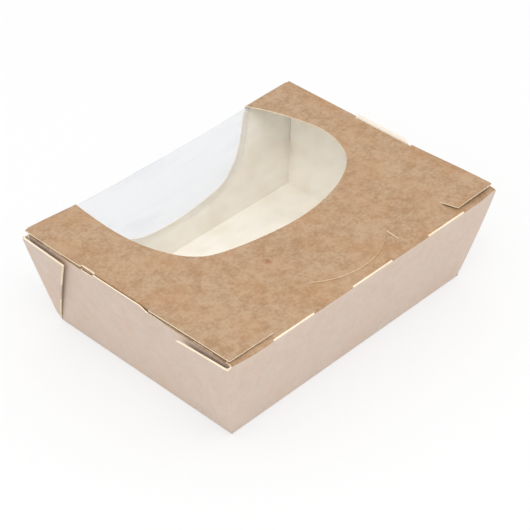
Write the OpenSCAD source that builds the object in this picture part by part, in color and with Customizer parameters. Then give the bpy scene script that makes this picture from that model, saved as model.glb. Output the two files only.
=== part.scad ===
// Folded kraft takeaway box with webbed corners, a hinged lid and a film window.
// Origin at the centre of the footprint, on the surface that the box stands on.
// The front, with the slit lock, looks along -Y. The lid turns on the rear top edge.
// Every panel is drawn flat, as on the blank, and then set into its folded place.

/* [Sheet] */
// Thickness of the board
board = 0.5; // [0.4:0.05:0.7]
// Thickness of the window film
film = 0.15; // [0.1:0.05:0.25]

/* [Body] */
// Length of the base between its end folds
base_l = 156; // [140:1:162]
// Depth of the base between its front and rear folds
base_d = 112; // [96:1:120]
// Length of the front and rear walls along the top
top_l = 179; // [176:1:190]
// Depth across the top, from the front fold to the hinge
top_d = 135; // [126:1:145]
// Height of the fold along the top of the front wall
rim_z = 52.4; // [40:0.2:75]
// Distance between the folds along the tops of the two end walls
end_l = 175.2; // [173:0.2:176]
// How much lower the end folds lie than the front fold
end_drop = 1.2; // [0.6:0.1:2]

/* [Corner webs] */
// Height of the cut top of a web below the front fold
web_drop = 1.5; // [1:0.5:8]
// Angle at the foot of a web, between the corner of the box and the web's free fold
web_angle = 33.5; // [28:0.5:36]
// How far the free top point of a web springs out past its corner
web_spring = 2; // [1.5:0.1:4]
// How much lower the free top point of a web lies than its corner
web_fall = 1; // [0:0.5:3]

/* [Front lock] */
// Depth of the front flap behind its fold
flap_d = 12; // [9.5:0.5:13]
// Distance from the middle to the centre of an ear
ear_x = 42; // [41:0.5:46]
// Width of an ear
ear_w = 31; // [28:0.5:32]
// Length of an ear behind the front flap
ear_d = 4.8; // [4:0.1:6]
// Distance between the two nicks at the root of an ear
neck_w = 25; // [16:0.5:26]
// Half the width of the tongue in the middle of the lid
tongue_half = 24.8; // [18:0.2:25]
// Distance from the front fold to the tip of the tongue
tongue_tip = 6.5; // [3:0.5:7]
// Distance from the front fold to the front edge of the lid's corners
corner_back = 3.2; // [2:0.2:5]

/* [End flaps] */
// Depth of an end flap
end_flap_d = 11; // [8:0.5:11]
// Front end of the slot in an end flap
slot_front = -29; // [-34:1:-26]
// Rear end of the slot in an end flap
slot_rear = 29; // [28:1:34]
// Width of the slot, which is the height of the tab that stands up from it
slot_w = 2.8; // [2.8:0.1:3.4]
// Front end of the tab that stands up from an end wall
upstand_front = -15; // [-20:1:-10]
// Rear end of the tab that stands up from an end wall
upstand_rear = 20; // [14:1:24]

/* [Lid] */
// Length of the lid across its raw side edges
lid_l = 176.8; // [175.4:0.2:177]
// Depth of a tuck tab below the lid
tuck_d = 10; // [6:0.5:12]
// How far each barb of a tuck tab reaches past its fold
barb = 8; // [4:0.5:9]

/* [Window] */
// Width of the window
window_w = 128; // [90:1:128]
// Reach of the window from the hinge over the lid
window_lid = 84; // [50:1:86]
// Reach of the window from the hinge down the rear wall
window_wall = 36; // [20:1:42]
// Distance of the window's middle to the right of the box's middle
window_x = 4; // [0:0.1:4]
// Width of the glued margin of the film
film_margin = 7; // [4:0.5:7]

/* [Hidden] */
$fn = 48;
kraft = "#c8a987";
clear_film = "#dfe8ec";

// Width of a cut through the board
cut_w = 0.2;

// Clearances between pieces that pass each other
lid_gap = 0.1;
hinge_gap = 0.15;
lock_gap = 0.4;
tuck_gap = 0.4;

// The bead of a fold is a little smaller than the board, and runs a little past the fold
bead = 0.9 * board;
bead_over = cut_w / 2;
corner_r = 2;

// Heights and places of the folds, all on the inner face of the board
hinge_z = rim_z + board + lid_gap;
hinge_y = top_d / 2;
front_y = -top_d / 2;
end_z = rim_z - end_drop;
end_x = end_l / 2;
web_seat = 2 * board;
base_z = board;

// Front ear, its notch in the lid, and the parts of the lid between them
ear_ramp = 4;
nick_r = 0.7;
lock_back = flap_d + ear_d;

// Folds that are cut through for part of their length, as centre and length
fold_cuts = [[-51.5, 25.6], [0, 26.6], [51.5, 25.6]];
end_fold_cut = [48.5, 12];

// Uncut part of a web's free fold, as shares of its length from the foot
web_fold = [0.39, 0.65];

// Tuck tab: its fold runs between the ends of the upstand, with a little room
tuck_front = upstand_front - lock_gap;
tuck_rear = upstand_rear + lock_gap;
end_lean = (end_x - base_l / 2) / (end_z - base_z);
tuck_x = end_x + end_lean * (hinge_z - end_z) - tuck_gap - board;

function unit(v) = v / norm(v);

// Smooth line through a few knots
function knot(p, i) = p[max(0, min(len(p) - 1, i))];
function between(a, b, c, d, t) =
    0.5 * (2 * b + (c - a) * t + (2 * a - 5 * b + 4 * c - d) * t * t + (3 * b - a - 3 * c + d) * t * t * t);
function smooth(p, steps) = concat(
    [for (i = [0 : len(p) - 2]) for (s = [0 : steps - 1])
        between(knot(p, i - 1), p[i], p[i + 1], knot(p, i + 2), s / steps)],
    [p[len(p) - 1]]);

// Window outline over the lid and down the rear wall, as shares of its half width and reach
hinge_left = -0.97;
hinge_right = 0.755;
lid_knots = [[hinge_left, 0], [-1, 0.3], [-0.99, 0.5], [-0.93, 0.68], [-0.83, 0.82], [-0.66, 0.91],
             [-0.27, 0.98], [0.12, 1], [0.5, 0.95], [0.8, 0.835], [0.95, 0.68], [1, 0.51], [0.97, 0.34],
             [0.87, 0.16], [hinge_right, 0]];
wall_knots = [[hinge_left, 0], [-0.88, 0.33], [-0.7, 0.7], [-0.44, 0.94], [-0.12, 1], [0.2, 0.95],
              [0.43, 0.8], [0.6, 0.53], [0.7, 0.24], [hinge_right, 0]];
function window_at(share) = window_x + share * window_w / 2;

// Half of the window, with its distance from the hinge as the second direction
module window_half(knots, reach) {
    line = [for (p = smooth(knots, 4)) [window_at(p.x), p.y * reach]];
    polygon(concat(line, [[window_at(hinge_right), -1], [window_at(hinge_left), -1]]));
}

// Frame with its first direction along a fold and its second up the panel
module on_fold(origin, along, up) {
    u = unit(along);
    v = unit(up - (up * u) * u);
    n = cross(u, v);
    multmatrix([[u.x, v.x, n.x, origin.x], [u.y, v.y, n.y, origin.y], [u.z, v.z, n.z, origin.z], [0, 0, 0, 1]])
        children();
}

// Flat outline made into board on one side of its plane, 1 for the side that the frame faces
module panel(origin, along, up, side = 1, thick = board) {
    on_fold(origin, along, up)
        translate([0, 0, side > 0 ? 0 : -thick])
            linear_extrude(thick)
                children();
}

// Board through three or four points of one plane, thick towards the given side
module web_panel(points, towards) {
    u = unit(points[1] - points[0]);
    v = unit((points[2] - points[0]) - ((points[2] - points[0]) * u) * u);
    side = cross(u, v) * towards > 0 ? 1 : -1;
    panel(points[0], u, v, side)
        polygon([for (p = points) [(p - points[0]) * u, (p - points[0]) * v]]);
}

// Round bead of a fold between two points
module fold(a, b) {
    lean = unit(b - a);
    side = abs(lean.z) > 0.7 ? [1, 0, 0] : [0, 0, 1];
    on_fold(a, cross(side, lean), lean)
        translate([0, -bead_over, 0])
            rotate([-90, 0, 0])
                cylinder(h = norm(b - a) + 2 * bead_over, r = bead);
}

// Fold along X that is cut through where the list of cuts says so
module cut_fold(half, y, z, cuts) {
    starts = concat([-half], [for (c = cuts) c[0] + c[1] / 2]);
    ends = concat([for (c = cuts) c[0] - c[1] / 2], [half]);
    for (i = [0 : len(starts) - 1])
        fold([starts[i], y, z], [ends[i], y, z]);
}

// The same cuts through a flap that starts at the fold, given as centre and length
module fold_cut(c) {
    translate([c[0] - c[1] / 2, -1])
        square([c[1], 1 + cut_w]);
}

module base_panel() {
    panel([0, 0, base_z], [1, 0, 0], [0, 1, 0], -1)
        square([base_l, base_d], center = true);
    for (s = [-1, 1]) {
        fold([-base_l / 2, s * base_d / 2, base_z], [base_l / 2, s * base_d / 2, base_z]);
        fold([s * base_l / 2, -base_d / 2, base_z], [s * base_l / 2, base_d / 2, base_z]);
    }
}

// Front and rear walls: they reach past the end walls and end inside the corner webs
function wall_slant(z) = norm([(top_d - base_d) / 2, z - base_z]);
module wall_outline(z) {
    foot_half = base_l / 2 + web_seat + bead_over;
    top_half = top_l / 2 + bead_over;
    polygon([[-foot_half, 0], [foot_half, 0], [top_half, wall_slant(z)], [-top_half, wall_slant(z)]]);
}

module front_wall() {
    panel([0, -base_d / 2, base_z], [1, 0, 0], [0, front_y + base_d / 2, rim_z - base_z])
        difference() {
            wall_outline(rim_z);
            for (s = [-1, 1])
                web_top_cut(s, wall_slant(rim_z));
        }
    cut_fold(top_l / 2 - 2 * web_drop, front_y, rim_z, fold_cuts);
}

// Corner of a long wall, sloped down from its top fold to the cut top of the web
module web_top_cut(s, top) {
    polygon([[s * (top_l / 2 - 2 * web_drop), top], [s * (top_l / 2 + web_drop), top - web_drop * 1.2],
             [s * (top_l / 2 + web_drop), top + 1], [s * (top_l / 2 - 2 * web_drop), top + 1]]);
}

module rear_wall() {
    top = wall_slant(hinge_z);
    panel([0, base_d / 2, base_z], [1, 0, 0], [0, hinge_y - base_d / 2, hinge_z - base_z], -1)
        difference() {
            wall_outline(hinge_z);
            translate([0, top])
                mirror([0, 1])
                    window_half(wall_knots, window_wall);
        }
    fold([-top_l / 2, hinge_y, hinge_z], [window_at(hinge_left) - cut_w, hinge_y, hinge_z]);
    fold([window_at(hinge_right) + cut_w, hinge_y, hinge_z], [top_l / 2, hinge_y, hinge_z]);
}

// One corner web, for the side s of the length and the side d of the depth
function foot(s, d) = [s * (base_l / 2 + web_seat), d * base_d / 2, base_z];
function long_top(s, d) = [s * top_l / 2, d * top_d / 2, rim_z];
function end_top(s, d) = [s * end_x, d * end_top_y, end_z];
end_top_y = base_d / 2 + (top_d - base_d) / 2 * (end_z - base_z) / (rim_z - base_z) - board;
function along_to(a, b, z) = a + (b - a) * (z - a.z) / (b.z - a.z);

module web(s, d) {
    a = foot(s, d);
    edge = long_top(s, d) - a;
    corner = along_to(a, long_top(s, d), rim_z - web_drop);
    // Direction of the web's free fold, turned from the corner edge in the leaning plane
    level = unit([s * web_spring, -d * norm(edge) * sin(web_angle), 0]);
    inward = unit(level - (level * unit(edge)) * unit(edge));
    diagonal = unit(edge) * cos(web_angle) + inward * sin(web_angle);
    free = along_to(a, a + diagonal, rim_z - web_drop - web_fall);
    inner = corner + [-s * board * 0.8, -d * board * 0.8, 0];
    heel = a + [0, -d * 0.2 * board, 0];
    inner_free = free + unit(corner - free) * cut_w;
    web_panel([a, corner, free], [s, 0, 0]);
    web_panel([heel, inner, inner_free], [-s, 0, 0]);
    fold(a, corner);
    fold(a + (free - a) * web_fold[0], a + (free - a) * web_fold[1]);
    // Turn between the web's inner layer and the end wall, let into that layer
    lap = [s * bead_over, 0, 0];
    turn = [end_top(s, d).x + s * board / 2, inner.y, inner.z];
    web_panel([heel + lap, inner + lap, turn, [s * (base_l + board) / 2, heel.y, base_z]], [0, -d, 0]);
}

module end_wall(s) {
    slant = norm([end_x - base_l / 2, end_z - base_z]);
    panel([s * base_l / 2, 0, base_z], [0, s, 0], [s * (end_x - base_l / 2), 0, end_z - base_z])
        mirror([s > 0 ? 0 : 1, 0])
            union() {
                polygon([[-base_d / 2, 0], [base_d / 2, 0], [end_top_y, slant], [-end_top_y, slant]]);
                translate([0, slant])
                    upstand();
            }
    for (d = [-1, 1]) {
        cut_near = end_fold_cut[0] - end_fold_cut[1] / 2;
        cut_far = end_fold_cut[0] + end_fold_cut[1] / 2;
        near = d > 0 ? slot_rear : -slot_front;
        fold([s * end_x, d * near, end_z], [s * end_x, d * cut_near, end_z]);
        fold([s * end_x, d * cut_far, end_z], [s * end_x, d * end_top_y, end_z]);
    }
}

// Tab that stays upright when the end flap folds away, with an S-shaped front end
module upstand() {
    polygon(concat([[upstand_rear, -1], [upstand_rear, slot_w], [upstand_front + 5, slot_w]],
                   [for (t = [0.25 : 0.25 : 1])
                       [upstand_front + 5 - 5 * t, slot_w * (0.5 + 0.5 * cos(180 * t))]],
                   [[upstand_front, -1]]));
}

module end_flap(s) {
    panel([s * end_x, 0, end_z], [0, -s, 0], [-s * end_flap_d, 0, end_drop])
        mirror([s > 0 ? 1 : 0, 0])
            difference() {
                polygon([[-end_top_y, 0], [end_top_y, 0], [end_top_y - end_flap_d * 0.6, end_flap_d],
                         [-end_top_y + end_flap_d, end_flap_d]]);
                translate([slot_front, -1])
                    square([slot_rear - slot_front, slot_w + 1]);
                for (d = [-1, 1])
                    fold_cut([d * end_fold_cut[0], end_fold_cut[1]]);
            }
}

// Front flap, folded back under the lid, with two ears that rise into the lid's notches
module front_flap() {
    reach = top_l / 2 - 2 * web_drop;
    rise = board + lid_gap;
    panel([0, front_y, rim_z], [1, 0, 0], [0, 1, 0])
        difference() {
            polygon([[-reach, 0], [reach, 0], [reach - flap_d, flap_d], [-reach + flap_d, flap_d]]);
            for (s = [-1, 1])
                translate([s * ear_x - ear_w / 2 - cut_w, flap_d - ear_ramp])
                    square([ear_w + 2 * cut_w, ear_ramp + 1]);
            for (c = fold_cuts)
                fold_cut(c);
        }
    for (s = [-1, 1]) {
        panel([s * ear_x, front_y + flap_d - ear_ramp, rim_z], [1, 0, 0], [0, ear_ramp, rise])
            translate([-ear_w / 2, 0])
                square([ear_w, norm([ear_ramp, rise])]);
        panel([s * ear_x, front_y + flap_d, rim_z + rise], [1, 0, 0], [0, 1, 0])
            difference() {
                ear_head();
                for (e = [-1, 1])
                    translate([e * neck_w / 2, nick_r])
                        circle(r = nick_r / 2);
            }
    }
}

// Head of an ear: a strip with its two rear corners cut off, let into the slope before it
module ear_head() {
    cut = ear_d / 4;
    polygon([[-ear_w / 2, -board], [ear_w / 2, -board], [ear_w / 2, ear_d - cut],
             [ear_w / 2 - cut, ear_d], [-ear_w / 2 + cut, ear_d], [-ear_w / 2, ear_d - cut]]);
}

module tray() {
    color(kraft) {
        base_panel();
        front_wall();
        rear_wall();
        front_flap();
        for (s = [-1, 1]) {
            end_wall(s);
            end_flap(s);
            for (d = [-1, 1])
                web(s, d);
        }
    }
}

// Front edge of the lid from the middle to one corner, as distances behind the front fold
function arc_r() = (tongue_half * tongue_half + pow(tongue_rise(), 2)) / (2 * tongue_rise());
function tongue_rise() = lock_back - 1.8 - tongue_tip;
function tongue_edge(s) = [for (i = [0 : 6])
    let (x = tongue_half * i / 6)
    [s * x, tongue_tip + arc_r() - sqrt(pow(arc_r(), 2) - x * x)]];
function front_edge(s) = concat(tongue_edge(s), [
    [s * (ear_x - ear_w / 2 - lock_gap), lock_back + lock_gap],
    [s * (ear_x + ear_w / 2 + lock_gap), lock_back + lock_gap],
    [s * (ear_x + ear_w / 2 + lock_gap + 1.4), corner_back + corner_r],
    [s * (ear_x + ear_w / 2 + lock_gap + 1.4 + corner_r), corner_back],
    [s * (lid_l / 2 - corner_r / 2), corner_back],
    [s * lid_l / 2, corner_back + corner_r / 2]]);
function reversed(list) = [for (i = [len(list) - 1 : -1 : 0]) list[i]];

// Raw side of the lid, stepped in where the tuck tab folds down
function side_edge(s) = [
    [s * lid_l / 2, tuck_front - cut_w - front_y],
    [s * tuck_x, tuck_front - cut_w - front_y],
    [s * tuck_x, tuck_rear + cut_w - front_y],
    [s * lid_l / 2, tuck_rear + cut_w - front_y],
    [s * lid_l / 2, top_d - corner_r],
    [s * (lid_l / 2 - corner_r), top_d - board - hinge_gap]];

module lid_outline() {
    half = concat(front_edge(1), side_edge(1));
    other = concat(front_edge(-1), side_edge(-1));
    polygon(concat(half, reversed(other)));
}

module tuck_tab(s) {
    lean = [s * -end_lean, 0, -1];
    wide_front = tuck_front - barb;
    wide_rear = tuck_rear + barb;
    panel([s * tuck_x, 0, hinge_z], [0, 1, 0], lean, s > 0 ? -1 : 1)
        polygon([[tuck_front, 0], [tuck_rear, 0], [tuck_rear, 0.15 * tuck_d], [wide_rear, 0.3 * tuck_d],
                 [wide_rear - 0.3 * barb, 0.6 * tuck_d], [tuck_rear - 0.5 * barb, tuck_d],
                 [tuck_front + 0.5 * barb, tuck_d], [wide_front + 0.3 * barb, 0.6 * tuck_d],
                 [wide_front, 0.3 * tuck_d], [tuck_front, 0.15 * tuck_d]]);
    fold([s * tuck_x, tuck_front, hinge_z], [s * tuck_x, tuck_rear, hinge_z]);
}

module lid() {
    color(kraft) {
        translate([0, front_y, hinge_z])
            linear_extrude(board)
                difference() {
                    lid_outline();
                    translate([0, top_d])
                        mirror([0, 1])
                            window_half(lid_knots, window_lid);
                }
        for (s = [-1, 1])
            tuck_tab(s);
    }
}

// The film's two halves, glued to the inner faces of the lid and the rear wall
film_back = board + hinge_gap;
module film_sheet(reach) {
    translate([window_x - window_w / 2 - film_margin, film_back])
        square([window_w + 2 * film_margin, reach + film_margin - film_back]);
}

module lid_film() {
    color(clear_film, 0.4)
        panel([0, hinge_y, hinge_z], [1, 0, 0], [0, -1, 0], 1, film)
            film_sheet(window_lid);
}

module rear_film() {
    color(clear_film, 0.4)
        panel([0, hinge_y, hinge_z], [1, 0, 0], [0, base_d / 2 - hinge_y, base_z - hinge_z], -1, film)
            film_sheet(window_wall);
}

tray();
lid();
lid_film();
rear_film();
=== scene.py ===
import math

import bpy
from bpy.props import FloatProperty, FloatVectorProperty, PointerProperty
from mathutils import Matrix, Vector


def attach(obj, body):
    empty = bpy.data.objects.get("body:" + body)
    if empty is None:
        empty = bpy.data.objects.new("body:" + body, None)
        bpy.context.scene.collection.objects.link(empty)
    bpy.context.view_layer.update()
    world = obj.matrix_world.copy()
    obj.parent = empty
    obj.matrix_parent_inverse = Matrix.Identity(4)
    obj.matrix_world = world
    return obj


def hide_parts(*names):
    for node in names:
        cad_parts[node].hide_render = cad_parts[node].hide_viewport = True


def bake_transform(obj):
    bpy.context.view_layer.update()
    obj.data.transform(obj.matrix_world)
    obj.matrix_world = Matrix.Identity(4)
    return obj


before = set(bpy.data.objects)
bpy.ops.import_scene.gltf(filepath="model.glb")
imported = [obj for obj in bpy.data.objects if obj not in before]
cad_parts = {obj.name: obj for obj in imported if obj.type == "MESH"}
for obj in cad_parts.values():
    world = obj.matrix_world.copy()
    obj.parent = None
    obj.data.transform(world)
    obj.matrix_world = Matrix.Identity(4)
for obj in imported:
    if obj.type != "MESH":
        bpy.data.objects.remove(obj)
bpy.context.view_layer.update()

bl_info = {
    "name": "Folded Window Box",
    "version": (1, 0, 0),
    "blender": (4, 5, 0),
    "location": "3D Viewport > Sidebar > Window Box",
    "description": "Takeaway box of kraft board with webbed corners, a hinged lid and a film window",
    "category": "Object",
}

# All lengths in this file are in millimetres until a vertex is placed
MM = 0.001

# Material slots that the board pieces share: the lining of a kraft slot lies LINING_STEP after it
# The lining behind the lid's kraft is the same cream board as the walls' lining, painted darker as painted
# shade
FINISHES = ("kraft_top", "kraft_wall_painted_sheen", "lid_lining_painted_shade", "wall_lining", "raw_edge")
# The walls' slot holds the lid's kraft painted paler and pinker: a painted sheen of the light on the walls
KRAFT_TOP, KRAFT_WALL_PAINTED_SHEEN, RAW = 0, 1, 4
LINING_STEP = 2

# Points closer than this are welded
WELD = 0.004

# Body: outer faces of the board, with the folds at the tops of the walls
BASE_X, BASE_Y = 78.41, 56.40
END_SLOPE = 0.1893
LONG_SLOPE = 0.2205
FOLD_R = 0.6
FRONT_Y, FRONT_Z = 68.1, 52.9
END_Z = 51.7
HINGE_Y, HINGE_Z = 67.5, 53.0
LID_Z = 53.5

# Strip of the rear wall that bends with the lid, how far the dip of the fold spreads, and the
# distance from the hinge over which the bend is shared out
STRIP_Z = 50.4
STRIP_HALF = 86.5
DIP_REACH = 22.0

# Corner webs: each runs from the edge of the long wall over the end wall, turns, and comes back
# inside itself to its heel on the end wall. By d: -1 for the front webs and 1 for the rear ones
CORNER_R = 0.9
CORNER_DRAW, DRAW_FROM = 1.3, 74.0
LAYER_GAP = 1.05
HEEL_GAP = 0.25
HEEL_SPREAD = 1.7
FOOT_H, LINING_IN = 3.3, 0.4
WEB_TOP, WEB_TIP = 51.2, 49.9
WEB_LENGTH = {-1: 30.5, 1: 28.5}
WEB_SPRING = {-1: 0.6, 1: 0.2}
WEB_FOOT, WEB_SPREAD, WEB_UNCUT = 0.04, 0.125, (0.39, 0.65)
CORNER_STEPS = (("edge", 5), ("outer", 9), ("turn", 6), ("inner", 9), ("heel", 4))

# Front flap, its two deeper lobes with an ear in each, how far the lock sits to the right, the
# width of the step beside an ear, and the cuts in the fold
FLAP_D, FLAP_TAPER = 12.0, 0.9
EAR_IN, EAR_OUT, EAR_D = 26.5, 62.0, 17.2
EAR_STRAIGHT, EAR_TAPER = 3.0, 0.28
EAR_RISE_FROM, EAR_CROWN = 8.0, 0.12
LOBE = (13, 75)
LOCK_X = 1.0
RISER = 0.1
FOLD_CUTS = ((-64.3, -38.7), (-13.3, 13.3), (38.7, 64.3))

# Front edge of the lid: its tongue, the notches for the ears and the part beside them
TONGUE_HALF, TONGUE_TIP, TONGUE_END = 26.3, 6.5, 16.0
TONGUE_STEPS = 10
LOCK_GAP, EAR_GAP = 0.12, 0.35
CHAMFER = 0.9
FRONT_SET, NOTCH_MOUTH = 2.6, 3.4

# End flaps and the tabs that stand up beside the lid, by s: -1 for the left and 1 for the right
END_FLAP_D, END_FLAP_RISE, END_FLAP_TAPER = 11.0, 1.2, 0.12
SLOT_FRONT, SLOT_REAR, SLOT_D = -24.5, 29.0, 2.8
TAB_FRONT, TAB_REAR, TAB_CURVE = -15.0, 20.0, 5.0
TAB_H, TAB_H_LEAST = {-1: 1.7, 1: 2.9}, 0.03
TAB_LEAN = 0.55
END_CUT = (42.5, 54.5)

# Lid, the places from which its front corners rise, and its tuck tabs
LID_HALF = 88.4
LID_FRONT = -65.0
LIFT_X, LIFT_Y, LIFT_END = 30.0, 5.0, LID_HALF + 6
HINGE_R = 1.2
TUCK_X = 87.54
BARB_TOP = {-1: 0.1, 1: 1.3}
TUCK_FRONT, TUCK_REAR, TUCK_BARB, TUCK_D = -15.4, 20.4, 8.4, 10.0
PINCH_FROM, PINCH = 0.3, 0.9

# Window: its edge on the lid and on the rear wall, as shares of its half width and its reach
WINDOW_X, WINDOW_HALF = 4.0, 64.0
WINDOW_LID, WINDOW_WALL = 84.0, 38.4
WINDOW_STEPS = 6
HINGE_LEFT, HINGE_RIGHT = -0.965, 0.82
LID_KNOTS = [(HINGE_LEFT, 0), (-1, 0.3), (-0.99, 0.5), (-0.93, 0.68), (-0.83, 0.82), (-0.66, 0.91),
             (-0.27, 0.98), (0.12, 1), (0.5, 0.95), (0.8, 0.835), (0.95, 0.68), (1, 0.51),
             (0.97, 0.34), (0.9, 0.14), (HINGE_RIGHT, 0)]
WALL_KNOTS = [(HINGE_LEFT, 0), (-0.89, 0.33), (-0.71, 0.7), (-0.45, 0.94), (-0.11, 1), (0.22, 0.955),
              (0.38, 0.91), (0.535, 0.8), (0.69, 0.51), (HINGE_RIGHT, 0)]

# Film: its outline, the way it lies in the fold, and how much of a veil it is on the lid
FILM_LEFT, FILM_RIGHT = WINDOW_X - 71, WINDOW_X + 71
FILM_COLUMNS = 44
FILM_LAP, FILM_TURN, FILM_TIP = 3.0, 6.0, 0.985
FILM_UNDER_LID, FILM_INSIDE_WALL = 0.1, 0.62
FILM_R_END, FILM_R_MIDDLE = 0.4, 2.2
RIPPLE, RIPPLE_REACH = 0.16, 40.0
LID_VEIL, VEIL_EDGE, VEIL_TURN = 0.5, 3.0, 4.0

# Reach of the cutters: from below to above the lid, and from inside to outside the rear wall
FRONT_CUT, WINDOW_CUT, WALL_CUT = (48, 60), (45, 60), (55, 75)
CUT_PAST_SIDE, CUT_PAST_END = 3, 5

# Stage, in metres and degrees
CAMERA_PLACE, CAMERA_TURN = (-0.508523, -0.482648, 0.572689), (51.76191, -0.46561, -46.20631)
CAMERA_LENS, CAMERA_SENSOR = 127.236, 36
LAMP_PLACE, LAMP_AIM, LAMP_SIZE = (-0.3, -0.35, 1.0), (0, 0, 0.03), 0.5
FLOOR_SIZE, FLOOR_Z = 6, -0.0002
FLOOR_SHOWN, FLOOR_GLOW, FLOOR_BOUNCE = 0.3, 0.62, 0.8


def srgb(red, green, blue):
    """A colour written as on screen, from 0 to 255, as the linear values of a shader."""
    values = (red / 255, green / 255, blue / 255)
    return tuple(v / 12.92 if v <= 0.04045 else ((v + 0.055) / 1.055) ** 2.4 for v in values)


def dimmed(shade, share):
    return tuple(c * share for c in shade)


def colour(name, description, default):
    return FloatVectorProperty(name=name, description=description, default=default,
                               subtype="COLOR", size=3, min=0, max=1)


def length(name, description, default, low, high):
    """A size in metres whose default and limits are written in millimetres."""
    return FloatProperty(name=name, description=description, default=default * MM,
                         min=low * MM, max=high * MM, subtype="DISTANCE", unit="LENGTH")


# Colours that are mixed into the board, and the height of its tooth
# The walls' blush is painted paler and pinker than the lid's, as painted sheen
KRAFT_BLUSH, PAINTED_SHEEN_WALL_BLUSH = srgb(178, 132, 91), srgb(212, 182, 162)
LINING_BLUSH, RAW_BLUSH = srgb(226, 212, 184), srgb(226, 196, 152)
# The lining under the kraft of the lid and flaps is painted darker than the walls' lining: painted shade
LID_LINING_PAINTED_SHADE = 0.86
TOOTH = 0.12 * MM

# Stains in the kraft of the lid, as place, size and strength
STAIN = srgb(142, 86, 50)
STAINS = (((-27.2, -28.7, LID_Z), 2.4, 0.8), ((-19.0, -40.0, LID_Z), 3.6, 0.28))


class BoardSettings(bpy.types.PropertyGroup):
    """Sheet and colours of the folded board."""

    thickness: length("Board", "Thickness of the board", 0.5, 0.4, 0.7)
    kraft: colour("Kraft", "Pale ground of the kraft side", srgb(178, 149, 119))
    kraft_dark: colour("Kraft mottle", "Darker fibres of the kraft side", srgb(158, 124, 91))
    # The walls' kraft is the lid's board painted paler and pinker: a painted sheen of the light on the
    # walls
    wall: colour("Wall", "Pale ground of the kraft side on the walls", srgb(210, 194, 181))
    painted_sheen_wall_dark: colour("Wall mottle", "Darker fibres of the kraft side on the walls", srgb(201, 180, 163))
    lining: colour("Lining", "Cream inner side of the board", srgb(255, 249, 237))
    raw: colour("Raw edge", "Cut edge of the board", srgb(247, 231, 205))


class LidSettings(bpy.types.PropertyGroup):
    """How far the lid has sprung from flat."""

    lift_right: length("Right corner", "How far the right front corner stands up", 1.9, 0, 4)
    lift_left: length("Left corner", "How far the left front corner stands up", 0.8, 0, 4)
    dip_left: length("Left dip", "How far the fold sinks at the left end of the window", 1.1, 0, 4)
    dip_right: length("Right dip", "How far the fold sinks at the right end of the window", 0.4, 0, 4)


class FilmSettings(bpy.types.PropertyGroup):
    """The clear film behind the window."""

    thickness: length("Film", "Thickness of the film", 0.12, 0.05, 0.25)
    sag: length("Sag", "How far the film hangs in between its ends at the fold", 0.8, 0, 5)
    tint: colour("Tint", "Colour of the light on the film", srgb(183, 192, 203))


class StageSettings(bpy.types.PropertyGroup):
    """Light round the box."""

    sky: FloatProperty(name="Sky", description="Strength of the even light", default=1.1, min=0, max=2)
    lamp: FloatProperty(name="Lamp", description="Power of the soft lamp", default=2.7, min=0, max=60,
                        subtype="POWER", unit="POWER")


def smooth_step(value):
    value = max(0.0, min(1.0, value))
    return value * value * (3 - 2 * value)


def mix(a, b, share):
    return a + (b - a) * share


def both_sides(values):
    """The values, and the same below zero."""
    return sorted({-v for v in values} | set(values))


def smooth_line(knots, steps):
    """A smooth line through a few knots."""
    line = []
    for i in range(len(knots) - 1):
        a, b = Vector(knots[max(i - 1, 0)]), Vector(knots[i])
        c, d = Vector(knots[i + 1]), Vector(knots[min(i + 2, len(knots) - 1)])
        for step in range(steps):
            t = step / steps
            line.append(0.5 * (2 * b + (c - a) * t + (2 * a - 5 * b + 4 * c - d) * t ** 2
                               + (3 * b - a - 3 * c + d) * t ** 3))
    return line + [Vector(knots[-1])]


def deselect():
    if bpy.context.object and bpy.context.object.mode != "OBJECT":
        bpy.ops.object.mode_set(mode="OBJECT")
    bpy.ops.object.select_all(action="DESELECT")


def choose(obj):
    """Only this piece is selected and active."""
    deselect()
    obj.hide_set(False)
    obj.select_set(True)
    bpy.context.view_layer.objects.active = obj


def edit(obj):
    choose(obj)
    bpy.ops.object.mode_set(mode="EDIT")


def add_patch(name, columns, rows, place, keep=None, finish=None, veil=None):
    """A grid with one square per step of columns and rows, set into its folded place."""
    deselect()
    across, up = len(columns) - 1, len(rows) - 1
    bpy.ops.mesh.primitive_grid_add(x_subdivisions=across, y_subdivisions=up, size=1)
    obj = bpy.context.object
    obj.name = name
    dress(obj)
    bpy.ops.object.mode_set(mode="EDIT")
    bpy.ops.mesh.select_mode(type="FACE")
    bpy.ops.mesh.select_all(action="DESELECT")
    bpy.ops.object.mode_set(mode="OBJECT")
    mesh = obj.data
    for face in mesh.polygons:
        column = int((face.center.x + 0.5) * across)
        row = int((face.center.y + 0.5) * up)
        face.select = bool(keep and not keep(column, row))
        face.material_index = finish(column, row) if finish else KRAFT_TOP
    marks = mesh.attributes.new("veil", "FLOAT", "POINT").data if veil else None
    for vertex in mesh.vertices:
        column = round((vertex.co.x + 0.5) * across)
        row = round((vertex.co.y + 0.5) * up)
        vertex.co = Vector(place(columns[column], rows[row])) * MM
        if veil:
            marks[vertex.index].value = veil(columns[column], rows[row])
    if keep:
        bpy.ops.object.mode_set(mode="EDIT")
        bpy.ops.mesh.delete(type="FACE")
        bpy.ops.object.mode_set(mode="OBJECT")
    return obj


def join(parts, name):
    """Several patches welded into one sheet."""
    deselect()
    for part in parts:
        part.select_set(True)
    bpy.context.view_layer.objects.active = parts[0]
    bpy.ops.object.join()
    obj = bpy.context.object
    obj.name = name
    edit(obj)
    bpy.ops.mesh.select_all(action="SELECT")
    bpy.ops.mesh.remove_doubles(threshold=WELD * MM)
    bpy.ops.object.mode_set(mode="OBJECT")
    return obj


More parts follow.
